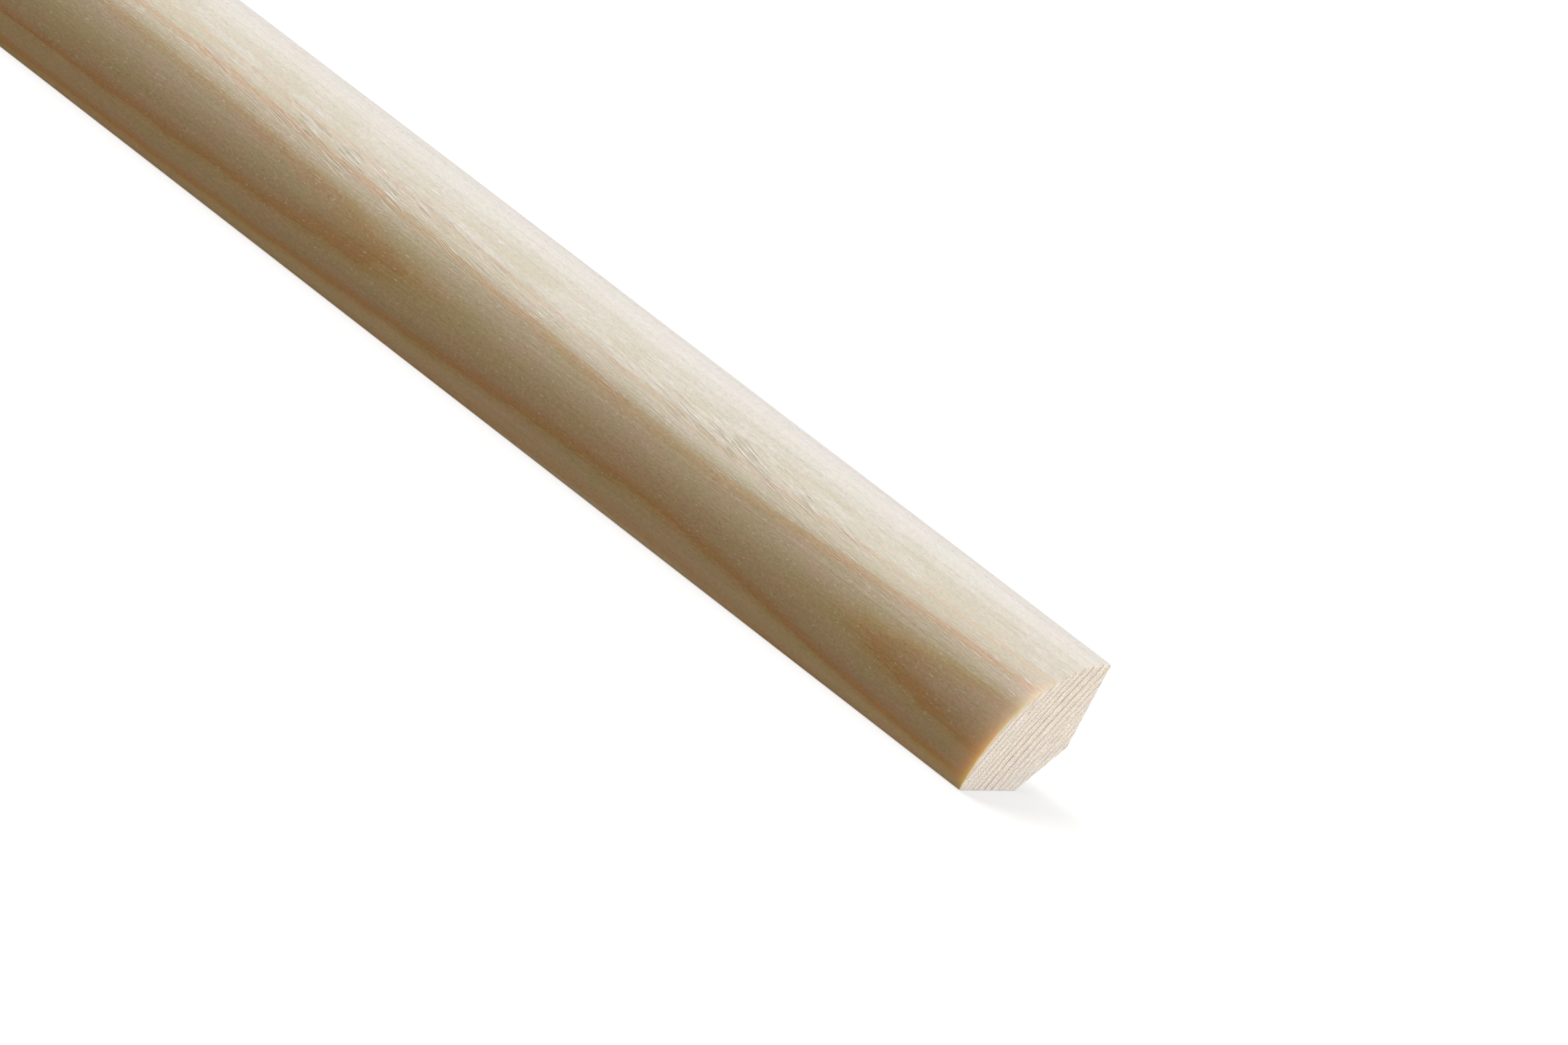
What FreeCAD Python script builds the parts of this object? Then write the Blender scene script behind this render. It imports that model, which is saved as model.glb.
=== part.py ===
"""Quarter round moulding: one length of planed pine trim, sawn square at both ends.

The section is a quarter circle between two equal flats at a right angle, one for the floor and one for the wall.
The corner where the two flats would meet is planed off, so that the moulding seats in a corner that isn't clean.

Frame: +X runs along the length, +Y points at the wall, +Z is up, and the moulding lies on its floor flat.
The origin is at the middle of the length, on the floor, half way across the section.
"""

import FreeCAD
import Part
import Sketcher
import math
import os

# Driving dimensions in millimetres: alias, value, what it measures
DIMENSIONS = [
    ("leg_width", 15.0, "from the plane of the wall to the toe on the floor, and as much up the wall"),
    ("stock_length", 900.0, "length of the piece, as it is sold"),
    ("corner_relief", 5.2, "cut back along each flat, from the corner where the two flats would meet"),
]

# How a sketch numbers its own origin and first axis, and the points of a line or an arc
SKETCH_ORIGIN = FLOOR_AXIS = -1
START, END, CENTRE = 1, 2, 3

FAILED_STATES = {"Invalid", "Error"}
VOLUME_TOLERANCE = 1e-6


def add_dimensions(doc):
    """The sheet of driving dimensions, one row each, with an alias on each value."""
    sheet = doc.addObject("Spreadsheet::Sheet", "Dimensions")
    for row, (alias, value, note) in enumerate(DIMENSIONS, start=1):
        sheet.set(f"A{row}", alias)
        sheet.set(f"B{row}", str(value))
        sheet.set(f"C{row}", note)
        sheet.setAlias(f"B{row}", alias)
    doc.recompute()
    return sheet


def origin_plane(body, role):
    """One of the body's own origin planes, by its role."""
    return next(plane for plane in body.Origin.OriginFeatures if plane.Role == role)


def draw_section(body, sheet):
    """The moulding's section: floor flat, corner relief, wall flat and round face.

    The sketch's first axis is the row's Y, and its second axis is the row's Z.
    """
    leg, relief = sheet.leg_width, sheet.corner_relief
    wall = leg / 2
    corner = FreeCAD.Vector(wall, 0, 0)
    floor_toe = FreeCAD.Vector(wall - leg, 0, 0)
    floor_heel = FreeCAD.Vector(wall - relief, 0, 0)
    wall_heel = FreeCAD.Vector(wall, relief, 0)
    wall_toe = FreeCAD.Vector(wall, leg, 0)
    full_round = Part.Circle(corner, FreeCAD.Vector(0, 0, 1), leg)

    sketch = body.newObject("Sketcher::SketchObject", "Section")
    sketch.AttachmentSupport = [(origin_plane(body, "YZ_Plane"), "")]
    sketch.MapMode = "FlatFace"

    floor_flat = sketch.addGeometry(Part.LineSegment(floor_toe, floor_heel))
    corner_cut = sketch.addGeometry(Part.LineSegment(floor_heel, wall_heel))
    wall_flat = sketch.addGeometry(Part.LineSegment(wall_heel, wall_toe))
    round_face = sketch.addGeometry(Part.ArcOfCircle(full_round, math.pi / 2, math.pi))

    # The outline is closed, edge to edge
    outline = [floor_flat, corner_cut, wall_flat, round_face]
    for edge, following in zip(outline, outline[1:] + outline[:1]):
        sketch.addConstraint(Sketcher.Constraint("Coincident", edge, END, following, START))

    # The flats are square to each other, and the round is centred on the corner where they would meet
    sketch.addConstraint(Sketcher.Constraint("Horizontal", floor_flat))
    sketch.addConstraint(Sketcher.Constraint("Vertical", wall_flat))
    sketch.addConstraint(Sketcher.Constraint("PointOnObject", floor_flat, START, FLOOR_AXIS))
    sketch.addConstraint(Sketcher.Constraint("PointOnObject", round_face, CENTRE, FLOOR_AXIS))
    sketch.addConstraint(Sketcher.Constraint("PointOnObject", round_face, CENTRE, wall_flat))

    # Each size follows the sheet
    sizes = [
        (Sketcher.Constraint("Radius", round_face, leg), "round_radius", "Dimensions.leg_width"),
        (
            Sketcher.Constraint("DistanceX", SKETCH_ORIGIN, START, round_face, CENTRE, wall),
            "wall_place",
            "Dimensions.leg_width / 2",
        ),
        (
            Sketcher.Constraint("DistanceX", floor_flat, END, round_face, CENTRE, relief),
            "floor_relief",
            "Dimensions.corner_relief",
        ),
        (
            Sketcher.Constraint("DistanceY", round_face, CENTRE, wall_flat, START, relief),
            "wall_relief",
            "Dimensions.corner_relief",
        ),
    ]
    for constraint, name, expression in sizes:
        sketch.renameConstraint(sketch.addConstraint(constraint), name)
        sketch.setExpression(f"Constraints.{name}", expression)
    return sketch


def add_quarter_round(doc, sheet):
    """The moulding: its section run along the whole length, half each way from the middle."""
    body = doc.addObject("PartDesign::Body", "QuarterRound")
    body.Label = "quarter_round"
    section = draw_section(body, sheet)
    run = body.newObject("PartDesign::Pad", "Run")
    run.Profile = section
    run.SideType = "Symmetric"
    run.setExpression("Length", "Dimensions.stock_length")
    doc.recompute()
    return body, section


def check(doc, body, section, sheet):
    """Stops before anything is written if a feature failed or the solid isn't the section times the length."""
    failed = [item.Name for item in doc.Objects if FAILED_STATES & set(item.State)]
    if failed:
        raise RuntimeError(f"these failed to build: {failed}")
    if not section.FullyConstrained:
        raise RuntimeError("the section's sketch can still move")
    if body.Shape.isNull() or not body.Shape.isValid() or len(body.Shape.Solids) != 1:
        raise RuntimeError(f"{body.Label} is not one valid solid")
    area = math.pi / 4 * sheet.leg_width**2 - sheet.corner_relief**2 / 2
    expected = area * sheet.stock_length
    if abs(body.Shape.Volume - expected) > VOLUME_TOLERANCE * expected:
        raise RuntimeError(f"{body.Label} holds {body.Shape.Volume} mm3 and not {expected}")


def main():
    doc = FreeCAD.newDocument("QuarterRoundMoulding")
    sheet = add_dimensions(doc)
    body, section = add_quarter_round(doc, sheet)
    check(doc, body, section, sheet)
    os.makedirs("parts", exist_ok=True)
    body.Shape.exportStep(f"parts/{body.Label}.step")
    print(body.Label, body.Shape.BoundBox, f"{body.Shape.Volume:.1f} mm3")


main()
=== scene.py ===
"""A length of pine quarter round moulding, dressed in its own grain and set on a white studio floor."""

import math

import bpy
import numpy as np
from bpy.props import FloatProperty, FloatVectorProperty, PointerProperty
from mathutils import Matrix, Vector
from mathutils.geometry import delaunay_2d_cdt


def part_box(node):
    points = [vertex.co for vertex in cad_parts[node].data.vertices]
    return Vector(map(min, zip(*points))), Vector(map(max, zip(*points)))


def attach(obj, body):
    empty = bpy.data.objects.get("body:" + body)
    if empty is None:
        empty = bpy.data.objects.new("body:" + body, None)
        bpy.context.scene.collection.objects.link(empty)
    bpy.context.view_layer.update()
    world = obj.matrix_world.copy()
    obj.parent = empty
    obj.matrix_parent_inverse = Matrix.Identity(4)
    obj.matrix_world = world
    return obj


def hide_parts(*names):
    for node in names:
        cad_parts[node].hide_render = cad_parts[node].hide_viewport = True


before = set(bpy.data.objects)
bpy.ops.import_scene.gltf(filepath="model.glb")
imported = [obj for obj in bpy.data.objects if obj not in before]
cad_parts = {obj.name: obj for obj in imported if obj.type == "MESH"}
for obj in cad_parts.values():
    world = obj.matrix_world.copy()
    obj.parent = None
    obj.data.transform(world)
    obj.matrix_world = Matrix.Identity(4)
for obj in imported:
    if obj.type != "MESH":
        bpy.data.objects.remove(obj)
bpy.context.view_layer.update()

bl_info = {
    "name": "Quarter Round Moulding",
    "version": (1, 0, 0),
    "blender": (4, 5, 0),
    "location": "View3D > Sidebar > Moulding",
    "description": "Builds a bare pine quarter round with its growth rings, and a plain studio round it",
    "category": "Object",
}

NODE = "quarter_round"
BODY = "root"
MM = 0.001

# Torn patches of the round: distance from the shown end and reach along it in millimetres, and the angle
# up the round in degrees
TORN = (
    (43.0, 17.0, 55.0),
    (99.0, 25.0, 51.0),
    (176.0, 15.0, 40.0),
    (318.0, 19.0, 58.0),
    (473.0, 14.0, 33.0),
    (655.0, 20.0, 52.0),
    (792.0, 15.0, 45.0),
)

# Flat layout of the surface: share of its height that a strip takes, room between its parts, and how much
# more height the round gets than the flats
STRIP_HEIGHT = 0.345
MAP_MARGIN = 0.006
ROUND_SHARE = 2.2

# Swells of the growth rings along the length, in millimetres: place from the shown end, rise towards the
# round, and reach towards the shown end and away from it
SWELLS = (
    (48.0, 0.82, 34.0, 46.0),
    (235.0, -0.45, 60.0, 48.0),
    (382.0, 0.70, 52.0, 66.0),
    (560.0, -0.55, 70.0, 58.0),
    (700.0, 0.62, 48.0, 60.0),
    (840.0, -0.40, 45.0, 50.0),
)

# Spacing of the mesh's points on the round, on the flats and on the sawn ends, and along the wood: close
# together over a length from the shown end, then growing to its widest
ROUND_STEP = 0.12 * MM
FLAT_STEP = 0.5 * MM
END_STEP = 0.17 * MM
FINE_STEP = 0.9 * MM
FINE_LENGTH = 150 * MM
STEP_GROWTH = 1.06
WIDEST_STEP = 9.0 * MM

# Relief of the mesh: depth and lean of the fibres on the long faces, depth of the soft wood and of the saw's
# marks on the sawn ends
FIBRE_DEPTH = 0.003 * MM
FIBRE_LEAN = 0.02
END_GRAIN_DEPTH = 0.035 * MM
SAW_DEPTH = 0.02 * MM

# Angle above which an edge of the mesh looks sharp, the distance at which two of its points are one, and the
# start of the random draws
SHARP_ANGLE = math.radians(38)
SAME_POINT = 1e-9
SEED = 27

# Growth rings, by the year: how fast the hard wood and the resin end behind a line, and how far behind it
# the worn grain stands highest
LINE_FALL = 5.0
RESIN_FALL = 2.8
RIDGE_LAG = 0.15

# Lumps of each noise to a millimetre, along the wood, across it and up
DRIFT_GRAIN = (0.07, 0.7, 0.7)
CLOUD_GRAIN = (0.35, 0.9, 0.9)
FELT_GRAIN = (2.0, 7.0, 7.0)
STREAK_GRAIN = (0.035, 4.2, 4.2)
MOTTLE_GRAIN = (0.12, 0.6, 0.6)
STROKE_GRAIN = (0.3, 7.0, 7.0)
TORN_GRAIN = (0.10, 3.2, 3.2)
BREAK_GRAIN = (0.3, 1.2, 1.2)
RAGGED_GRAIN = (0.0, 2.4, 2.4)
PATCH_GRAIN = (0.0, 0.9, 0.9)
ROSY_GRAIN = (0.0, 1.1, 1.1)

# Lumps to a millimetre of depth under the crest ring, of width along a ring and of length
BAND_GRAIN = (7.0, 0.6, 1.0)
BEAD_GRAIN = (4.0, 7.0, 1.0)

# How far the growth rings wander with each noise, in millimetres
DRIFT_WANDER = 0.14
CLOUD_WANDER = 0.16
STREAK_WANDER = 0.03
RAGGED_WANDER = 0.14

# Depths under the crest ring, in millimetres, over which the wood changes
OUTER_ENDS = (0.95, 2.05)
STRAW_TO_CREAM = (0.8, 2.4)
CREAM_TO_PALE = (2.6, 7.0)
UPPER_PALES = (0.3, 0.8)
LATE_ENDS = (1.1, 2.6)
THREADS_START = (0.5, 0.8)
THREADS_END = (1.1, 2.3)
GLOW_ENDS = (0.9, 2.3)
DARK_LINES_END = (0.9, 1.5)
RIM_PALES = (1.0, 3.0)

# Heights above the floor, in millimetres, over which the round changes
TOE_LIGHT_ENDS = (0.3, 3.2)
FLECKS_RISE = (1.5, 4.5)
GLOW_PALES = (4.5, 9.5)
PAINTED_SHADE_ENDS = (5.2, 9.8)
UPPER_RISE = (5.5, 9.5)
THREADS_RISE = (7.6, 11.6)
FRINGE_ENDS = (9.0, 10.6)
HAIRLINES_RISE = (10.0, 11.8)

# Shares of hard wood over which each colour of the lines sets in
LATE_WOOD = (0.0, 0.8)
OCHRE_WOOD = (0.50, 0.92)
THREAD_WOOD = (0.56, 0.88)
FLAT_LINE_WOOD = (0.35, 0.95)
SAWN_LATE_WOOD = (0.1, 0.8)
SAWN_LINE_WOOD = (0.62, 1.0)

# Depths under the round's surface, in millimetres, over which the flats or the sawn end go over to it
ROUND_SKIN = (0.6, 0.3)
RIM_SKIN = (0.26, 0.10)

# Values of a noise over which something sets in, and the middle and half width of a line drawn along one
THREAD_BREAKS = (-0.12, 0.12)
CLEAN_MOTTLE = (-0.08, 0.06)
TORN_SHOWS = (0.40, 0.56)
HOLLOW_LINE = (0.45, 0.04)
EDGE_LINE = (0.54, 0.07)
HAIRLINE = (0.06, 0.04)

# Loose fibres: how close they lie, their leans from the length, the chance below which a place has none, and
# their thickness; then the smallest one's size, the share of its thickness that is fully pale, and the lean
# of the soft strokes
FLECKS = {"grain": (1.0, 6.5, 6.5), "leans": (0.22, -0.12), "rare": 0.30, "thick": 0.24}
DASHES = {"grain": (0.5, 5.5, 5.5), "leans": (0.05, -0.01), "rare": 0.15, "thick": 0.30}
SMALLEST_FIBRE = 0.5
FIBRE_CORE = 0.35
STROKE_LEAN = 0.04

# Lines of the round: how much the late wood loses on the upper round, more of it further in, and deep in the
# wood; how much the threads lose deep in the wood and where they break; how much of the resin fringe shows,
# and how much it loses towards the crest
UPPER_LOSS = 0.45
UPPER_INNER_LOSS = 0.25
LATE_LOSS = 0.95
THREAD_LOSS = 0.85
THREAD_BREAK = 0.15
FRINGE_SHOWS = 0.65
FRINGE_LOSS = 0.8

# Planed surface: how much roughness the cleanly cut patches lose and how much narrower their zone is; share
# of the flecks on the inner wood; shade of the clouds; how much painted light the toe gains at a sawn end
# and how fast that ends by the millimetre; how much clouds, streaks and outer wood add to the rosy mottle
CLEAN_LOSS = 0.75
CLEAN_NARROWS = 4.0
FLECKS_INNER = 0.25
CLOUD_SHADE = 0.06
END_TOE_LIGHT = 0.2
END_TOE_LIGHT_FALL = 0.12
ROSY_CLOUDS = 0.8
ROSY_STREAKS = 0.2
ROSY_OUTER = 0.8

# Light through the ends, as painted light in the wood's colour: what it loses deep in the wood, how far it
# pales towards the crest, and its share in the colour of all the wood there, with more in the outer wood
GLOW_LOSS = 0.9
GLOW_PALING = 0.6
GLOW_PAINT_ALL = 0.25
GLOW_PAINT_OUTER = 0.65

# Sawn ends: depth in millimetres at which the lines are clearest and how fast that ends; strength of all the
# lines, of the clearest and of the outer ones; tint of the late wood; shade of the bands and beads; how much
# of the rim's pale fibres and painted highlight shows and what it loses further in
CLEAREST = 5.4
CLEAR_FALL = 0.14
ALL_LINES = 0.32
CLEAR_LINES = 0.58
DARK_LINES = 0.35
SAWN_LATE_TINT = 0.10
BAND_SHADE = 0.8
BEAD_SHADE = 1.4
RIM_FIBRES_AND_HIGHLIGHT = 0.7
RIM_FIBRES_AND_HIGHLIGHT_LOSS = 0.5

# How strongly red, green and blue follow the rosy mottle
PLANED_LEANS = (0.28, -0.14, 0.46)
SAWN_LEANS = (0.06, -0.06, 0.22)

# Relief of the shading, in millimetres
FELT_RELIEF = 0.012
STROKE_RELIEF = 0.02
FIBRE_RELIEF = 0.012
TORN_RELIEF = 0.015
BAND_RELIEF = 0.02
BEAD_RELIEF = 0.04
LINE_RELIEF = 0.01

# Gloss of the wood: roughness of the planed faces, less on the hard lines and more or less with the noises,
# roughness of the sawn ends, and the level of the reflections
PLANED_ROUGHNESS = 0.32
LINE_GLOSS = 0.03
NOISE_ROUGHNESS = 0.10
SAWN_ROUGHNESS = 0.7
SPECULAR = 0.35

# Lamps: colour, and azimuth, elevation and spread in degrees
LAMPS = {
    "key": ((0.97, 0.99, 1.0), 215.0, 55.0, 50.0),
    "sheen": ((1.0, 0.975, 0.93), 279.0, 61.0, 30.0),
    "side": ((1.0, 1.0, 1.0), 90.0, 8.0, 30.0),
    "back": ((1.0, 0.99, 0.97), 190.0, 0.5, 8.0),
}
WHITE = (1, 1, 1)


def node_sizes():
    """Length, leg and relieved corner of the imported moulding, in metres."""
    low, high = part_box(NODE)
    wall = high.y
    on_wall = [v.co.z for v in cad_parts[NODE].data.vertices if abs(v.co.y - wall) < 0.01 * MM]
    return high.x - low.x, high.z - low.z, min(on_wall) - low.z


LENGTH, LEG, RELIEF = node_sizes()


class MouldingSizes(bpy.types.PropertyGroup):
    """Sizes of the moulding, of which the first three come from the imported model."""

    length: FloatProperty(
        name="Length", description="Length of the stock", default=LENGTH, unit="LENGTH", precision=5)
    leg: FloatProperty(
        name="Leg", description="Width of the floor flat's side and height of the wall flat's side",
        default=LEG, unit="LENGTH", precision=5)
    relief: FloatProperty(
        name="Corner relief", description="How much of each leg the planed-off back corner takes",
        default=RELIEF, unit="LENGTH", precision=5)
    arris: FloatProperty(
        name="Arris", description="Radius of the eased long edges", default=0.14 * MM, unit="LENGTH",
        precision=6)
    end_arris: FloatProperty(
        name="End arris", description="Width of the bevel round the sawn ends", default=0.14 * MM,
        unit="LENGTH", precision=6)
    grain_depth: FloatProperty(
        name="Grain depth", description="How far the soft wood stands below the hard lines",
        default=0.010 * MM, unit="LENGTH", precision=6)


class PineFigure(bpy.types.PropertyGroup):
    """How the growth rings lie in the stock."""

    pith_distance: FloatProperty(
        name="Pith distance", description="Distance of the tree's centre from the corner of the flats",
        default=120.0 * MM, unit="LENGTH", precision=4)
    pith_angle: FloatProperty(
        name="Pith angle", description="How far the tree's centre lies below the floor's level",
        default=math.radians(27.0), subtype="ANGLE")
    first_line: FloatProperty(
        name="First line", default=0.30 * MM, unit="LENGTH", precision=6,
        description="Depth of the first hard line under the round's crest at the shown end")
    outer_gain: FloatProperty(
        name="Outer gain", description="How much further in the lines lie after the first wide years",
        default=0.28 * MM, unit="LENGTH", precision=6)
    outer_reach: FloatProperty(
        name="Outer reach", description="Depth under the crest down to which the first years are wide",
        default=2.2 * MM, unit="LENGTH", precision=6)
    close_width: FloatProperty(
        name="Close rings", description="Width of a year's growth where the rings lie closest",
        default=0.571 * MM, unit="LENGTH", precision=6)
    wide_width: FloatProperty(
        name="Wide rings", description="Width of a year's growth where the rings lie widest",
        default=1.20 * MM, unit="LENGTH", precision=6)
    wide_depth: FloatProperty(
        name="Depth of the wide rings", description="Depth under the crest at which the rings lie widest",
        default=6.0 * MM, unit="LENGTH", precision=6)
    wide_reach: FloatProperty(
        name="Reach of the wide rings", description="Distance over which the rings draw together again",
        default=3.2 * MM, unit="LENGTH", precision=6)
    hard_share: FloatProperty(
        name="Hard share", description="Share of a year's growth that the hard wood takes", default=0.70,
        subtype="FACTOR")


class PineSurface(bpy.types.PropertyGroup):
    """Marks of growth, plane and saw on the wood's surface."""

    felt: FloatProperty(
        name="Felt", description="Contrast of the fine fibres", default=0.66, subtype="FACTOR")
    streaks: FloatProperty(
        name="Streaks", description="Contrast of the long streaks", default=0.20, subtype="FACTOR")
    strokes: FloatProperty(
        name="Strokes", description="Contrast of the soft strokes in the rough zone", default=0.42,
        subtype="FACTOR")
    dashes: FloatProperty(
        name="Dashes", description="How pale the long loose fibres of the rough zone are", default=1.0,
        subtype="FACTOR")
    hairlines: FloatProperty(
        name="Hairlines", description="Strength of the fine dark lines towards the crest", default=0.36,
        subtype="FACTOR")
    mottle: FloatProperty(
        name="Mottle", description="How far the wood goes from rosy to yellow", default=0.26,
        subtype="FACTOR")
    flecks: FloatProperty(
        name="Flecks", description="How pale the short loose fibres are", default=0.6, subtype="FACTOR")
    rough_angle: FloatProperty(
        name="Rough zone", description="Angle up the round at which the plane left the fibres rough",
        default=math.radians(58.0), subtype="ANGLE")
    rough_spread: FloatProperty(
        name="Rough spread", description="Reach of the rough zone up and down the round",
        default=5.0 * MM, unit="LENGTH", precision=6)
    clean: FloatProperty(
        name="Clean patches", description="How dark the cleanly cut patches of the rough zone are",
        default=0.5, subtype="FACTOR")
    flat_lines: FloatProperty(
        name="Lines on the flats", default=0.45, subtype="FACTOR",
        description="Strength of the hard lines on the flats and the planed corner")
    torn: FloatProperty(
        name="Torn grain", description="Strength of the torn marks", default=0.8, subtype="FACTOR")
    torn_slope: FloatProperty(
        name="Torn slope", description="Lean of the torn marks from the length",
        default=math.radians(8.0), subtype="ANGLE")
    torn_spread: FloatProperty(
        name="Torn spread", description="Reach of a torn patch up and down the round",
        default=1.9 * MM, unit="LENGTH", precision=6)
    # Painted light: the wood along the toe's edge by the floor is made paler, as if lit there
    toe: FloatProperty(
        name="Toe", description="How much paler the wood is along the toe's edge", default=0.25,
        subtype="FACTOR")
    glow_reach: FloatProperty(
        name="Glow reach", description="Distance from a sawn end over which light comes through the fibres",
        default=1.4 * MM, unit="LENGTH", precision=6)
    light_reach: FloatVectorProperty(
        name="Light reach", description="How far red, green and blue light travel along the fibres",
        default=(6.0 * MM, 2.4 * MM, 0.9 * MM), unit="LENGTH", precision=6)


class PineColours(bpy.types.PropertyGroup):
    """Colours of bare pine, as linear red, green and blue."""

    pale: FloatVectorProperty(
        name="Pale wood", description="Soft wood of the inner rings", subtype="COLOR",
        default=(0.708, 0.673, 0.635))
    cream: FloatVectorProperty(
        name="Cream wood", description="Soft wood between the inner and the outer rings", subtype="COLOR",
        default=(0.67, 0.628, 0.525))
    thread: FloatVectorProperty(
        name="Thread wood", description="Fine hard lines near the crest and on the flats", subtype="COLOR",
        default=(0.59, 0.37, 0.19))
    straw: FloatVectorProperty(
        name="Straw wood", description="Soft wood of the outer rings", subtype="COLOR",
        default=(0.585, 0.49, 0.335))
    blush: FloatVectorProperty(
        name="Blush wood", description="Hard wood where it sets in", subtype="COLOR",
        default=(0.55, 0.42, 0.285))
    ochre: FloatVectorProperty(
        name="Ochre wood", description="Hard wood at its line", subtype="COLOR",
        default=(0.535, 0.335, 0.148))
    honey: FloatVectorProperty(
        name="Honey wood", description="Resin-rich wood behind each line", subtype="COLOR",
        default=(0.58, 0.455, 0.225))
    # Painted light: the glow of light that comes through the fibres, given as a colour
    end_glow: FloatVectorProperty(
        name="End glow", subtype="COLOR", default=(0.83, 0.64, 0.385),
        description="Wood at the ends, where light comes through its fibres")
    # Painted shade: this colour darkens the wood towards the floor, where less light falls
    painted_low_shade: FloatVectorProperty(
        name="Low tone", description="What the wood is toned with towards the floor", subtype="COLOR",
        default=(0.765, 0.708, 0.592))
    # Painted shade: the dark bottom of torn grain stands for the shadow in its hollows
    painted_hollow_shade: FloatVectorProperty(
        name="Torn hollow", description="Dark bottom of torn grain", subtype="COLOR",
        default=(0.45, 0.32, 0.19))
    # Pale lifted fibres; on the torn edges this colour is partly a painted glint
    fibre: FloatVectorProperty(
        name="Loose fibre", description="Pale fibres lifted by the plane", subtype="COLOR",
        default=(0.90, 0.87, 0.80))
    sawn: FloatVectorProperty(
        name="Sawn wood", description="Soft wood on the sawn ends", subtype="COLOR",
        default=(0.775, 0.757, 0.72))
    sawn_line: FloatVectorProperty(
        name="Sawn line", description="Hard lines on the sawn ends", subtype="COLOR",
        default=(0.53, 0.37, 0.26))
    # Partly painted highlight: the bright line along the round's edge of a sawn end, besides the bent-over
    # fibres
    rim: FloatVectorProperty(
        name="Rim", description="Fibres bent over along the round's edge of a sawn end", subtype="COLOR",
        default=(0.90, 0.79, 0.60))


class StudioSettings(bpy.types.PropertyGroup):
    """Camera, lamps and floor."""

    lens: FloatProperty(
        name="Lens", description="Focal length of the camera in millimetres", default=317.1)
    distance: FloatProperty(
        name="Distance", description="Distance of the camera from what it looks at", default=1.37,
        unit="LENGTH")
    azimuth: FloatProperty(
        name="Azimuth", description="Turn of the camera round the piece", default=math.radians(30.76),
        subtype="ANGLE")
    elevation: FloatProperty(
        name="Elevation", description="Height of the camera above the floor as an angle",
        default=math.radians(16.583), subtype="ANGLE")
    roll: FloatProperty(
        name="Roll", description="Tilt of the camera to its side", default=math.radians(27.895),
        subtype="ANGLE")
    aim: FloatVectorProperty(
        name="Aim", description="What the camera looks at, from the foot of the shown end",
        default=(-29.122 * MM, -12.822 * MM, 12.899 * MM), unit="LENGTH", precision=6)
    key: FloatProperty(
        name="Key", description="Light of the large lamp behind and above the piece", default=0.50)
    sheen: FloatProperty(
        name="Sheen", description="Light of the lamp above that shows the gloss of the round", default=0.48)
    side: FloatProperty(
        name="Side", description="Light of the lamp that faces the shown end", default=0.93)
    back: FloatProperty(
        name="Back", description="Light of the low lamp that faces the wall flat", default=0.40)
    fill: FloatProperty(
        name="Fill", description="Light from all round", default=0.035)
    fill_colour: FloatVectorProperty(
        name="Fill colour", description="Colour of the light from all round", subtype="COLOR",
        default=(1.0, 0.84, 0.62))
    floor_white: FloatVectorProperty(
        name="Floor", description="Colour of the floor's paint", subtype="COLOR",
        default=(0.42, 0.42, 0.425))
    floor_bounce: FloatVectorProperty(
        name="Floor bounce", description="Colour that the floor throws back at the piece", subtype="COLOR",
        default=(0.54, 0.385, 0.215))
    glow: FloatProperty(
        name="Floor glow", description="Plain white that the floor shows besides the light on it",
        default=0.65, subtype="FACTOR")


class MouldingSettings(bpy.types.PropertyGroup):
    """Everything that a user would change."""

    sizes: PointerProperty(type=MouldingSizes)
    figure: PointerProperty(type=PineFigure)
    surface: PointerProperty(type=PineSurface)
    colours: PointerProperty(type=PineColours)
    studio: PointerProperty(type=StudioSettings)


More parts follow.
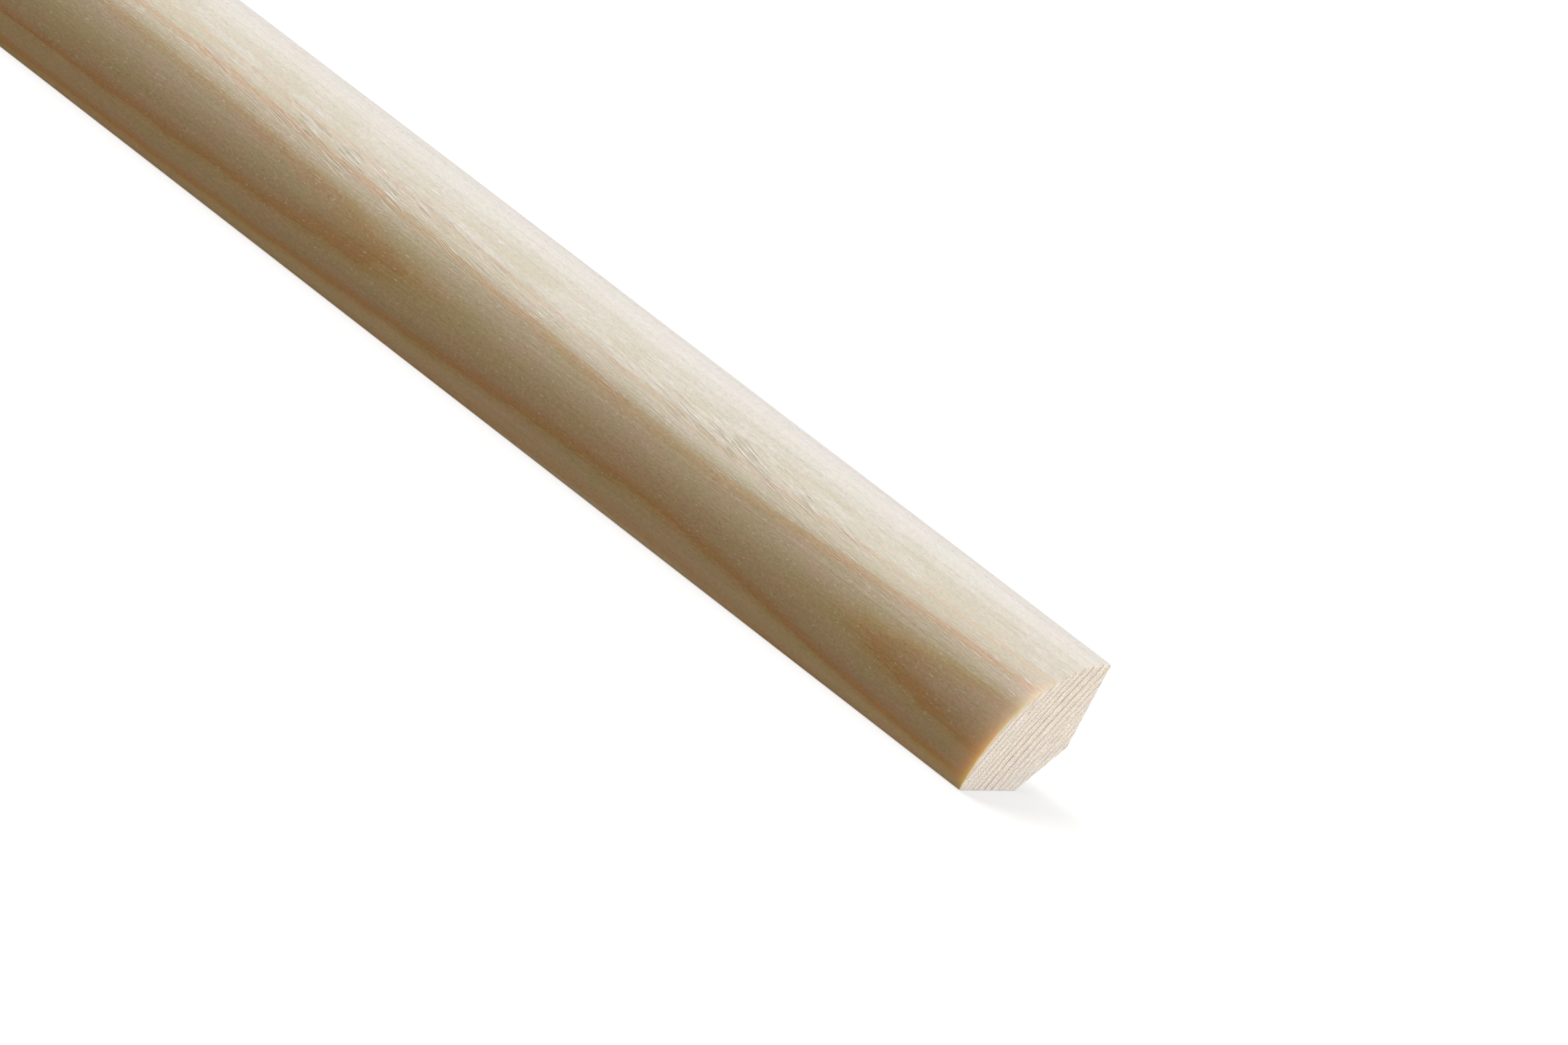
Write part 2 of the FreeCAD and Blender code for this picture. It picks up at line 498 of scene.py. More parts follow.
class Field:
    """A value, colour or vector that varies over a surface: one socket of a node tree.

    Python's own operators add Math nodes, so a formula for number arrays also builds a shader.
    """

    def __init__(self, tree, socket=None):
        self.tree = tree
        self.socket = socket

    def node(self, kind, settings=None, sockets=None, output=0):
        """Add a node: its settings first, then the values or links of its sockets."""
        made = self.tree.nodes.new(kind)
        for name, value in (settings or {}).items():
            setattr(made, name, value)
        for name, value in (sockets or {}).items():
            if isinstance(value, Field):
                self.tree.links.new(value.socket, made.inputs[name])
            else:
                made.inputs[name].default_value = value
        return Field(self.tree, made.outputs[output] if made.outputs else None)

    def maths(self, operation, *values):
        """A Math node on plain values, one of which is usually this field."""
        return self.node("ShaderNodeMath", {"operation": operation}, dict(enumerate(values)))

    def __add__(self, other):
        return self.maths("ADD", self, other)

    def __radd__(self, other):
        return self.maths("ADD", other, self)

    def __sub__(self, other):
        return self.maths("SUBTRACT", self, other)

    def __rsub__(self, other):
        return self.maths("SUBTRACT", other, self)

    def __mul__(self, other):
        return self.maths("MULTIPLY", self, other)

    def __rmul__(self, other):
        return self.maths("MULTIPLY", other, self)

    def __truediv__(self, other):
        return self.maths("DIVIDE", self, other)

    def __rtruediv__(self, other):
        return self.maths("DIVIDE", other, self)

    def stretched(self, scale):
        """This vector with its three parts scaled."""
        return self.node("ShaderNodeVectorMath", {"operation": "MULTIPLY"}, {0: self, 1: scale})

    def parts(self):
        """The three parts of this vector."""
        split = self.node("ShaderNodeSeparateXYZ", {}, {0: self}).socket.node
        return [Field(self.tree, socket) for socket in split.outputs]

    def vector(self, x, y, z):
        """A vector from three values."""
        return self.node("ShaderNodeCombineXYZ", {}, {0: x, 1: y, 2: z})

    def blend(self, share, first, second, blend_type="MIX"):
        """One colour going over to another, each a field or its red, green and blue."""
        first, second = (c if isinstance(c, Field) else (*c, 1) for c in (first, second))
        settings = {"data_type": "RGBA", "blend_type": blend_type, "clamp_factor": True}
        return self.node("ShaderNodeMix", settings, {0: share, 6: first, 7: second}, 2)

    def noise(self, place, grain, detail=2.0, rough=0.5):
        """Smooth noise about one half, with so many lumps to a unit of each part of its place."""
        sockets = {"Vector": place.stretched(grain), "Scale": 1.0, "Detail": detail, "Roughness": rough}
        return self.node("ShaderNodeTexNoise", {"noise_dimensions": "3D"}, sockets)


def on_both(operation, on_numbers):
    """A function of number arrays that also takes fields, as a Math node."""
    def work_out(value, *others):
        if isinstance(value, Field):
            return value.maths(operation, value, *others)
        return on_numbers(value, *others)
    return work_out


root = on_both("SQRT", np.sqrt)
exponent = on_both("EXPONENT", np.exp)
arc_tangent = on_both("ARCTANGENT", np.arctan)
lesser = on_both("MINIMUM", np.minimum)
greater = on_both("MAXIMUM", np.maximum)


def ramp(value, low, high):
    """Smooth rise from 0 at one value to 1 at another."""
    rise = lesser(greater((value - low) * (1.0 / (high - low)), 0.0), 1.0)
    return rise * rise * (3.0 - rise * 2.0)


def swell(along):
    """Rise of the growth rings towards the round, by distance from the shown end, in millimetres."""
    total = along * 0.0
    for place, rise, near_reach, far_reach in SWELLS:
        near = lesser(along - place, 0.0) * (1.0 / near_reach)
        far = greater(along - place, 0.0) * (1.0 / far_reach)
        bell = exponent((near * near + far * far) * -1.0)
        total = total + bell * rise
    return total


def ring_depth(settings, along, across, height):
    """Depth of a point of the wood under the crest ring, in millimetres.

    along is the distance from the shown end, across from the wall's plane and height from the floor.
    """
    figure = settings.figure
    distance = figure.pith_distance / MM
    pith_across = distance * math.cos(figure.pith_angle)
    pith_height = distance * math.sin(figure.pith_angle)
    leg = settings.sizes.leg / MM
    sideways = across + pith_across
    upward = height + pith_height
    from_pith = root(sideways * sideways + upward * upward) - distance
    at_end = float(swell(np.array(0.0)))
    return leg - at_end - from_pith + swell(along)


def ring_number(settings, depth):
    """Years of growth from the first hard line to a depth in millimetres."""
    figure = settings.figure
    first = figure.first_line / MM
    wide = figure.wide_depth / MM
    reach = figure.wide_reach / MM
    close_rate = MM / figure.close_width
    lost_rate = close_rate - MM / figure.wide_width
    at_first = math.atan((first - wide) / reach)
    drawn = depth - ramp(depth, first, figure.outer_reach / MM) * (figure.outer_gain / MM)
    lost = (arc_tangent((drawn - wide) * (1.0 / reach)) - at_first) * (lost_rate * reach)
    return (drawn - first) * close_rate - lost


def hard_wood(settings, ring):
    """Share of hard wood: going deeper it sets in slowly, and ends at once at each line."""
    year = ring.maths("FRACT", ring)
    share = settings.figure.hard_share
    slow = greater((year - 1.0) * (1.0 / share) + 1.0, 0.0)
    sudden = greater(1.0 - year * LINE_FALL, 0.0)
    return greater(slow, sudden)


def resin_fringe(ring):
    """Share of resin-rich wood just behind each line."""
    return greater(1.0 - ring.maths("FRACT", ring) * RESIN_FALL, 0.0)


def thin_line(noise, middle, half_width):
    """1 where a smooth noise passes a value, falling to 0 beside it."""
    gap = noise - middle
    return 1.0 - ramp(gap.maths("ABSOLUTE", gap), 0.0, half_width)


def ridge(ring):
    """Height of the worn grain: a soft ridge along each hard line, as an array."""
    wave = np.sin((ring - RIDGE_LAG) * (2 * math.pi) + math.pi / 2)
    return wave * 0.5 + 0.5


def eased_corner(corner, before, after, radius, steps=4):
    """Points and outward normals of a rounded corner between two faces with those normals."""
    turn = before.angle(after)
    centre = corner - (before + after).normalized() * (radius / math.cos(turn / 2))
    points = []
    for step in range(steps + 1):
        normal = before.slerp(after, step / steps)
        points.append((centre + normal * radius, normal))
    return points


def section_outline(sizes, round_step, flat_step):
    """Points and outward normals round the section, from the toe over the round, as arrays of y and z."""
    leg = sizes.leg
    relief = sizes.relief
    arris = sizes.arris
    wall = leg / 2
    down = Vector((0.0, -1.0))
    front = Vector((-1.0, 0.0))
    top = Vector((0.0, 1.0))
    back = Vector((1.0, 0.0))
    slant = Vector((1.0, -1.0)).normalized()
    toe = Vector((wall - leg, 0.0))
    crown = Vector((wall, leg))
    wall_heel = Vector((wall, relief))
    floor_heel = Vector((wall - relief, 0.0))
    trim = arris / leg
    angles = np.linspace(trim, math.pi / 2 - trim, round(leg * math.pi / 2 / round_step))
    outline = []
    for angle in angles[1:-1]:
        normal = Vector((-math.cos(angle), math.sin(angle)))
        outline.append((Vector((wall, 0.0)) + normal * leg, normal))
    corners = (
        eased_corner(crown, top, back, arris),
        eased_corner(wall_heel, back, slant, arris),
        eased_corner(floor_heel, slant, down, arris),
        eased_corner(toe, down, front, arris),
    )
    for index, corner in enumerate(corners):
        outline.extend(corner)
        if index + 1 < len(corners):
            start, normal = corner[-1]
            end = corners[index + 1][0][0]
            count = round((end - start).length / flat_step)
            for step in range(1, count):
                outline.append((start.lerp(end, step / count), normal))
    points = np.array([tuple(point) for point, normal in outline])
    normals = np.array([tuple(normal) for point, normal in outline])
    return points, normals


def stations(length, start_step, fine_length, growth, end_step):
    """Distances from the shown end: close together where it shows, then wider."""
    places = [0.0]
    step = start_step
    while places[-1] < length:
        places.append(places[-1] + step)
        if places[-1] > fine_length:
            step = min(step * growth, end_step)
    places = np.array(places)
    return places * (length / places[-1])


def fine_waves(generator, place, waves, longest, shortest):
    """Sum of sine waves of random phase along one direction, about zero, as an array."""
    total = np.zeros_like(place)
    for wave in range(waves):
        length = longest * (shortest / longest) ** (wave / max(1, waves - 1))
        total += np.sin(2 * math.pi * place / length + generator.uniform(0, 2 * math.pi))
    return total / math.sqrt(waves)


def build_mesh(settings):
    """The whole moulding as one closed mesh, with the grain standing in its surface."""
    sizes = settings.sizes
    generator = np.random.default_rng(SEED)
    points, normals = section_outline(sizes, ROUND_STEP, FLAT_STEP)
    columns = len(points)
    bevel = sizes.end_arris
    places = stations(sizes.length - 2 * bevel, FINE_STEP, FINE_LENGTH, STEP_GROWTH, WIDEST_STEP) + bevel
    rows = len(places)

    along = np.repeat(places[:, None], columns, 1)
    across = np.repeat((sizes.leg / 2 - points[:, 0])[None], rows, 0)
    height = np.repeat(points[:, 1][None], rows, 0)
    depth = ring_depth(settings, along / MM, across / MM, height / MM)
    ridges = ridge(ring_number(settings, depth))
    girth = np.concatenate([[0], np.cumsum(np.linalg.norm(np.diff(points, axis=0), axis=1))])
    fibre_place = np.repeat(girth[None], rows, 0) / MM + FIBRE_LEAN * along / MM
    fibres = fine_waves(generator, fibre_place, waves=9, longest=2.4, shortest=0.35)
    sunk = sizes.grain_depth * (1 - ridges) + FIBRE_DEPTH * (fibres + 2)
    y = points[None, :, 0] - normals[None, :, 0] * sunk
    z = points[None, :, 1] - normals[None, :, 1] * sunk
    half = sizes.length / 2
    run = np.stack([half - along, y, z], -1).reshape(-1, 3)

    row = np.arange(rows - 1)[:, None] * columns
    column = np.arange(columns)[None]
    after = (column + 1) % columns
    quads = np.stack([row + column, row + after, row + columns + after, row + columns + column], -1)
    faces = [tuple(q) for q in quads.reshape(-1, 4).tolist()]
    vertices = run.tolist()
    sawn_from = len(faces)

    for end, ring_row, x in ((1, 0, half), (-1, rows - 1, -half)):
        rim = np.stack([y[ring_row] - normals[:, 0] * bevel, z[ring_row] - normals[:, 1] * bevel], -1)
        inner = cap_points(sizes, END_STEP)
        flat = [Vector(p) for p in rim.tolist()] + [Vector(p) for p in inner.tolist()]
        edges = [(k, (k + 1) % columns) for k in range(columns)]
        inside_only = 1
        made, _, triangles, _, _, _ = delaunay_2d_cdt(flat, edges, [], inside_only, SAME_POINT)
        made = np.array([tuple(p) for p in made])
        cap_along = np.full(len(made), 0.0 if end > 0 else sizes.length)
        depth = ring_depth(settings, cap_along / MM, (sizes.leg / 2 - made[:, 0]) / MM, made[:, 1] / MM)
        ridges = ridge(ring_number(settings, depth))
        rough = generator.uniform(0, 1, len(made))
        sunk = END_GRAIN_DEPTH * (1 - ridges) + SAW_DEPTH * rough
        sunk[:columns] = 0.0
        first = len(vertices)
        vertices.extend(np.column_stack([x - end * sunk, made]).tolist())
        for a, b, c in triangles:
            faces.append((first + a, first + b, first + c)[::end])
        base = ring_row * columns
        for k in range(columns):
            turn = (k + 1) % columns
            faces.append((base + k, first + k, first + turn, base + turn)[::-end])
    mesh = bpy.data.meshes.new(NODE + "_wood")
    mesh.from_pydata(vertices, [], faces)
    sawn = np.arange(len(faces)) >= sawn_from
    mesh.polygons.foreach_set("material_index", sawn.astype(np.int32))
    mesh.polygons.foreach_set("use_smooth", np.ones(len(faces), bool))
    mesh.set_sharp_from_angle(angle=SHARP_ANGLE)
    if mesh.validate():
        raise RuntimeError("the moulding's mesh had faults")
    add_bake_map(mesh, sizes, places, points)
    return mesh


def add_bake_map(mesh, sizes, places, points):
    """Lay the surface out flat without overlaps: the long faces as two strips, the ends as two squares."""
    rows = len(places)
    columns = len(points)
    steps = np.linalg.norm(np.roll(points, -1, 0) - points, axis=1)
    centre = np.array([sizes.leg / 2, 0.0])
    on_round = np.abs(np.linalg.norm(points - centre, axis=1) - sizes.leg) < 0.5 * sizes.arris
    steps *= np.where(on_round, ROUND_SHARE, 1.0)
    upward = np.concatenate([[0.0], np.cumsum(steps)]) / steps.sum()
    middle = int(np.argmin(np.abs(places - sizes.length / 2)))

    row = np.repeat(np.arange(rows - 1), columns)
    column = np.tile(np.arange(columns), rows - 1)
    corner_row = np.stack([row, row, row + 1, row + 1], -1)
    corner_column = np.stack([column, column + 1, column + 1, column], -1)
    second = (row >= middle)[:, None]
    start = np.where(second, places[middle], places[0])
    reach = np.where(second, places[-1] - places[middle], places[middle] - places[0])
    u = MAP_MARGIN + (places[corner_row] - start) / reach * (1 - 2 * MAP_MARGIN)
    lift = np.where(second, STRIP_HEIGHT + MAP_MARGIN, 0.0)
    v = MAP_MARGIN + lift + upward[corner_column] * (STRIP_HEIGHT - MAP_MARGIN)
    strips = np.stack([u, v], -1).reshape(-1, 2)

    spots = np.empty(len(mesh.loops), np.int32)
    mesh.loops.foreach_get("vertex_index", spots)
    corners = np.empty(len(mesh.vertices) * 3, np.float32)
    mesh.vertices.foreach_get("co", corners)
    ends = corners.reshape(-1, 3)[spots[len(strips):]]
    square = 1 - 2 * (STRIP_HEIGHT + MAP_MARGIN) - 2 * MAP_MARGIN
    left = np.where(ends[:, 0] > 0, MAP_MARGIN, 2 * MAP_MARGIN + square)
    end_u = left + (ends[:, 1] / sizes.leg + 0.5) * square
    end_v = 1 - MAP_MARGIN - square + ends[:, 2] / sizes.leg * square
    layout = np.concatenate([strips, np.stack([end_u, end_v], -1)])
    layer = mesh.uv_layers.new(name="OFBake")
    layer.data.foreach_set("uv", layout.astype(np.float32).ravel())


def cap_points(sizes, step):
    """Points spread over a sawn end, clear of its rim."""
    wall = sizes.leg / 2
    clear = 0.8 * step
    rise = step * math.sqrt(3) / 2
    found = []
    for k in range(round(sizes.leg / rise)):
        z = k * rise
        y = np.arange(-wall, wall, step) + (k % 2) * step / 2
        across = wall - y
        inside = (np.hypot(across, z) < sizes.leg - clear) & (across > clear) & (z > clear)
        inside &= across + z > sizes.relief + clear * math.sqrt(2)
        found.append(np.column_stack([y[inside], np.full(inside.sum(), z)]))
    return np.concatenate(found)


def new_material(name):
    """An empty node material and a field to start its nodes from."""
    material = bpy.data.materials.new(name)
    material.use_nodes = True
    material.node_tree.nodes.clear()
    return material, Field(material.node_tree)


def wood_places(settings, start):
    """Places in the wood in millimetres: as a vector, and along, across and height as values."""
    place = start.node("ShaderNodeTexCoord", {}, {}, "Object").stretched((1 / MM,) * 3)
    x, y, z = place.parts()
    along = settings.sizes.length / 2 / MM - x
    across = settings.sizes.leg / 2 / MM - y
    return place, along, across, z


def near_round(settings, across, height, deep, shallow):
    """Rise from 0 to 1 towards the round, between two depths under its surface in millimetres."""
    leg = settings.sizes.leg / MM
    return ramp(root(across * across + height * height), leg - deep, leg - shallow)


def tinted(start, colour, shade, rosy, leans):
    """A colour with shade on it, its red, green and blue each following a rosy mottle."""
    red, green, blue = (shade * (1.0 + rosy * lean) for lean in leans)
    tint = start.node("ShaderNodeCombineColor", {}, {0: red, 1: green, 2: blue})
    return start.blend(1.0, colour, tint, "MULTIPLY")


def raised(start, relief):
    """Normals of a surface with a relief in millimetres."""
    return start.node("ShaderNodeBump", {}, {"Strength": 1.0, "Distance": MM, "Height": relief})


def leaning(start, place, slope):
    """The place with its grain leaning up the round, away from the shown end."""
    x, y, z = place.parts()
    rise = x * slope
    return start.vector(x, y + rise, z + rise)


def loose_fibres(start, place, grain, leans, rare, thick):
    """Pale hairs that the plane has lifted, scattered over the wood and leaning two ways."""
    lifted = []
    for lean in leans:
        sockets = {"Vector": leaning(start, place, lean).stretched(grain), "Scale": 1.0}
        cells = start.node("ShaderNodeTexVoronoi", {"feature": "F1"}, sockets).socket.node
        distance, colour = (Field(start.tree, cells.outputs[name]) for name in ("Distance", "Color"))
        chance, size, _ = colour.parts()
        distance = distance / (SMALLEST_FIBRE + size)
        lifted.append((1.0 - ramp(distance, thick * FIBRE_CORE, thick)) * ramp(chance, rare, 1.0))
    return greater(*lifted)


def torn_grain(settings, start, place, along, girth):
    """Hollows darkened with painted shade, and pale lifted edges partly with a painted glint, where the
    grain ran into the plane, in patches.
    """
    surface = settings.surface
    leg = settings.sizes.leg / MM
    spread = surface.torn_spread / MM
    torn = along * 0.0
    for middle, reach, angle in TORN:
        lengthwise = (along - middle) * (1.0 / reach)
        upwards = (girth - math.radians(angle) * leg) * (1.0 / spread)
        torn = torn + exponent((lengthwise * lengthwise + upwards * upwards) * -1.0)
    spot = leaning(start, place, math.tan(surface.torn_slope) / math.sqrt(2))
    marks = start.noise(spot, TORN_GRAIN, rough=0.55)
    torn = torn * ramp(start.noise(spot, BREAK_GRAIN, detail=1.0), *TORN_SHOWS)
    return thin_line(marks, *HOLLOW_LINE) * torn, thin_line(marks, *EDGE_LINE) * torn


def ring_colour(settings, start, depth, height, broken):
    """Colour of the planed wood by depth, its share of hard wood and of outer wood."""
    colours = settings.colours
    ring = ring_number(settings, depth)
    hard = hard_wood(settings, ring)
    outer = 1.0 - ramp(depth, *OUTER_ENDS)
    inner = start.blend(ramp(depth, *CREAM_TO_PALE), colours.cream, colours.pale)
    soft = start.blend(ramp(depth, *STRAW_TO_CREAM), colours.straw, inner)
    late = start.blend(ramp(hard, *OCHRE_WOOD), colours.blush, colours.ochre)
    upper = ramp(height, *UPPER_RISE) * (UPPER_LOSS + ramp(depth, *UPPER_PALES) * UPPER_INNER_LOSS)
    paler = (1.0 - ramp(depth, *LATE_ENDS) * LATE_LOSS) * (1.0 - upper)
    wood = start.blend(ramp(hard, *LATE_WOOD) * paler, soft, late)
    threads = ramp(hard, *THREAD_WOOD) * ramp(depth, *THREADS_START)
    threads = threads * (1.0 - ramp(depth, *THREADS_END) * THREAD_LOSS) * ramp(height, *THREADS_RISE)
    whole = 1.0 - THREAD_BREAK + ramp(broken, *THREAD_BREAKS) * THREAD_BREAK
    wood = start.blend(threads * whole, wood, colours.thread)
    fringe = resin_fringe(ring) * outer * (1.0 - ramp(height, *FRINGE_ENDS) * FRINGE_LOSS)
    wood = start.blend(fringe * FRINGE_SHOWS, wood, colours.honey)
    return wood, hard, outer


def plane_cut(settings, girth, mottle):
    """Shares of rough and of cleanly cut wood in the zone of the round that the plane left rough."""
    surface = settings.surface
    leg = settings.sizes.leg / MM
    off_zone = (girth - surface.rough_angle * leg) * (MM / surface.rough_spread)
    cut_clean = 1.0 - ramp(mottle, *CLEAN_MOTTLE)
    rough = exponent(off_zone * off_zone * -1.0) * (1.0 - cut_clean * CLEAN_LOSS)
    clean = exponent(off_zone * off_zone * -CLEAN_NARROWS) * cut_clean
    return rough, clean


def end_light(settings, start, wood, outer, depth, height, from_end):
    """How much light comes through the fibres beside a sawn end, and the wood's colour there with that glow
    painted in.
    """
    colours = settings.colours
    fall = -MM / settings.surface.glow_reach
    glow = exponent(from_end * fall) * (1.0 - ramp(depth, *GLOW_ENDS) * GLOW_LOSS)
    painted_glow = start.blend(ramp(height, *GLOW_PALES) * GLOW_PALING, colours.end_glow, colours.sawn)
    return glow, start.blend(GLOW_PAINT_ALL + outer * GLOW_PAINT_OUTER, wood, painted_glow)


def planed_pine(settings):
    """Bare planed pine on the long faces."""
    material, start = new_material("planed_pine")
    colours = settings.colours
    surface = settings.surface
    place, along, across, height = wood_places(settings, start)
    from_end = lesser(along, settings.sizes.length / MM - along)
    girth = height.maths("ARCTAN2", height, across) * (settings.sizes.leg / MM)
    drift = start.noise(place, DRIFT_GRAIN) - 0.5
    clouds = start.noise(place, CLOUD_GRAIN, rough=0.6) - 0.5
    felt = start.noise(place, FELT_GRAIN, rough=0.6) - 0.5
    streaks = start.noise(place, STREAK_GRAIN, rough=0.6) - 0.5
    mottle = start.noise(place, MOTTLE_GRAIN) - 0.5
    on_round = near_round(settings, across, height, *ROUND_SKIN)
    rough, clean = (share * on_round for share in plane_cut(settings, girth, mottle))
    strokes = start.noise(leaning(start, place, STROKE_LEAN), STROKE_GRAIN, detail=1.0) - 0.5
    strokes = strokes * rough
    depth = ring_depth(settings, along, across, height)
    depth = depth + drift * DRIFT_WANDER + clouds * CLOUD_WANDER + streaks * STREAK_WANDER

    wood, hard, outer = ring_colour(settings, start, depth, height, streaks)
    wood = start.blend(clean * surface.clean, wood, colours.straw)
    flat_lines = ramp(hard, *FLAT_LINE_WOOD) * (1.0 - on_round)
    wood = start.blend(flat_lines * surface.flat_lines, wood, colours.thread)
    # Painted shade: the wood darkens towards the floor
    painted_shade = start.blend(ramp(height, *PAINTED_SHADE_ENDS), colours.painted_low_shade, WHITE)
    wood = start.blend(1.0, wood, painted_shade, "MULTIPLY")
    # Painted light along the toe's edge by the floor, more of it beside a sawn end
    toe_light_gain = surface.toe + exponent(from_end * -END_TOE_LIGHT_FALL) * END_TOE_LIGHT
    toe = (1.0 - ramp(height, *TOE_LIGHT_ENDS)) * toe_light_gain
    shade = 1.0 + toe + felt * surface.felt + streaks * surface.streaks + strokes * surface.strokes
    shade = shade + clouds * CLOUD_SHADE
    rosy = mottle + clouds * ROSY_CLOUDS + streaks * ROSY_STREAKS
    rosy = rosy * (1.0 + outer * ROSY_OUTER) * surface.mottle
    wood = tinted(start, wood, shade, rosy, PLANED_LEANS)
    hairlines = thin_line(streaks, *HAIRLINE) * ramp(height, *HAIRLINES_RISE)
    wood = start.blend(hairlines * surface.hairlines, wood, colours.thread)

    hollows, edges = torn_grain(settings, start, place, along, girth)
    # Painted shade in the torn hollows
    wood = start.blend(hollows * surface.torn, wood, colours.painted_hollow_shade)
    flecks = loose_fibres(start, place, **FLECKS)
    flecks = flecks * flecks * (FLECKS_INNER + outer * (1.0 - FLECKS_INNER)) * ramp(height, *FLECKS_RISE)
    dashes = loose_fibres(start, place, **DASHES) * rough
    # Pale lifted fibres; on the torn edges the paleness is partly a painted glint
    lifted = greater(edges * surface.torn, greater(flecks * surface.flecks, dashes * surface.dashes))
    wood = start.blend(lifted, wood, colours.fibre)
    # Painted glow near the sawn ends, on top of real subsurface scattering
    glow, glow_painted_wood = end_light(settings, start, wood, outer, depth, height, from_end)

    roughness = PLANED_ROUGHNESS - hard * LINE_GLOSS + streaks * NOISE_ROUGHNESS + felt * NOISE_ROUGHNESS
    relief = felt * FELT_RELIEF + strokes * STROKE_RELIEF + (flecks + dashes) * FIBRE_RELIEF
    relief = relief + (edges - hollows) * TORN_RELIEF
    gloss = {"Roughness": roughness, "Normal": raised(start, relief), "Specular IOR Level": SPECULAR}
    solid = start.node("ShaderNodeBsdfPrincipled", {}, {"Base Color": wood, **gloss})
    through = {
        "Subsurface Weight": 1.0,
        "Subsurface Radius": tuple(reach / MM for reach in surface.light_reach),
        "Subsurface Scale": MM,
    }
    lit_through = start.node("ShaderNodeBsdfPrincipled", {}, {"Base Color": glow_painted_wood, **gloss, **through})
    mixed = start.node("ShaderNodeMixShader", {}, {0: glow, 1: solid, 2: lit_through})
    start.node("ShaderNodeOutputMaterial", {}, {"Surface": mixed})
    return material


def sawn_pine(settings):
    """Sawn end grain: thin hard lines across pale wood in fine bright beads."""
    material, start = new_material("sawn_pine")
    colours = settings.colours
    place, along, across, height = wood_places(settings, start)
    ragged = start.noise(place, RAGGED_GRAIN, detail=3.0, rough=0.6) - 0.5
    depth = ring_depth(settings, along, across, height) + ragged * RAGGED_WANDER
    hard = hard_wood(settings, ring_number(settings, depth))
    angle = settings.figure.pith_angle
    sideways = height * math.cos(angle) - across * math.sin(angle)

    off_clearest = depth - CLEAREST
    clear = exponent(off_clearest * off_clearest * -CLEAR_FALL)
    strength = ALL_LINES + CLEAR_LINES * clear + DARK_LINES * (1.0 - ramp(depth, *DARK_LINES_END))
    patchy = start.noise(place, PATCH_GRAIN)
    line = ramp(hard, *SAWN_LINE_WOOD) * strength * (0.5 + patchy)
    wood = start.blend(ramp(hard, *SAWN_LATE_WOOD) * SAWN_LATE_TINT, colours.sawn, colours.sawn_line)
    wood = start.blend(line, wood, colours.sawn_line)
    in_rings = start.vector(depth, sideways, along)
    bands = start.noise(in_rings, BAND_GRAIN, detail=1.0) - 0.5
    beads = start.noise(in_rings, BEAD_GRAIN, rough=0.6) - 0.5
    rosy = start.noise(place, ROSY_GRAIN) - 0.5
    shade = 1.0 + bands * BAND_SHADE + beads * BEAD_SHADE
    wood = tinted(start, wood, shade, rosy, SAWN_LEANS)
    # Pale bent-over fibres and a painted highlight along the rim
    rim = near_round(settings, across, height, *RIM_SKIN)
    wood = start.blend(rim * (RIM_FIBRES_AND_HIGHLIGHT - ramp(depth, *RIM_PALES) * RIM_FIBRES_AND_HIGHLIGHT_LOSS), wood, colours.rim)

    relief = bands * BAND_RELIEF + beads * BEAD_RELIEF + hard * LINE_RELIEF
    gloss = {"Roughness": SAWN_ROUGHNESS, "Normal": raised(start, relief), "Specular IOR Level": SPECULAR}
    solid = start.node("ShaderNodeBsdfPrincipled", {}, {"Base Color": wood, **gloss})
    start.node("ShaderNodeOutputMaterial", {}, {"Surface": solid})
    return material


class MOULDING_OT_quarter_round(bpy.types.Operator):
    """Build the moulding in place of its plain solid"""

    bl_idname = "moulding.quarter_round"
    bl_label = "Quarter Round"

    def execute(self, context):
        settings = context.scene.moulding
        mesh = build_mesh(settings)
        mesh.materials.append(planed_pine(settings))
        mesh.materials.append(sawn_pine(settings))
        piece = bpy.data.objects.new(NODE + "_pine", mesh)
        context.scene.collection.objects.link(piece)
        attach(piece, BODY)
        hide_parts(NODE)
        return {"FINISHED"}


def seen_directly(start):
    """1 for rays that show a surface or what it mirrors, 0 for the light it throws."""
    path = start.node("ShaderNodeLightPath").socket.node
    names = ("Is Camera Ray", "Is Glossy Ray", "Is Transmission Ray")
    camera, glossy, through = (Field(start.tree, path.outputs[name]) for name in names)
    return greater(camera, greater(glossy, through))


def floor_material(studio):
    """White floor that keeps the piece's shadow and throws little light back."""
    material, start = new_material("studio_floor")
    seen = seen_directly(start)
    dull = {"Roughness": 1.0, "Specular IOR Level": 0.0}
    thrown = start.node("ShaderNodeBsdfPrincipled", {}, {"Base Color": (*studio.floor_bounce, 1), **dull})
    paint = start.node("ShaderNodeBsdfPrincipled", {}, {"Base Color": (*studio.floor_white, 1), **dull})
    glow = start.node("ShaderNodeEmission", {}, {"Color": (*WHITE, 1), "Strength": studio.glow})
    white = start.node("ShaderNodeAddShader", {}, {0: paint, 1: glow})
    mixed = start.node("ShaderNodeMixShader", {}, {0: seen, 1: thrown, 2: white})
    start.node("ShaderNodeOutputMaterial", {}, {"Surface": mixed})
    return material


def add_lamp(context, name, strength, colour, azimuth, elevation, spread):
    """A far soft lamp: its light on a white surface that faces it, and where it stands, in degrees."""
    lamp = bpy.data.lights.new(name, "SUN")
    lamp.energy = strength * math.pi
    lamp.color = colour
    lamp.angle = math.radians(spread)
    turn = math.radians(azimuth)
    lift = math.radians(elevation)
    towards = Vector((math.sin(turn) * math.cos(lift), -math.cos(turn) * math.cos(lift), math.sin(lift)))
    placed = bpy.data.objects.new(name, lamp)
    placed.location = towards
    placed.rotation_mode = "QUATERNION"
    placed.rotation_quaternion = towards.to_track_quat("Z", "Y")
    placed.visible_camera = False
    context.scene.collection.objects.link(placed)


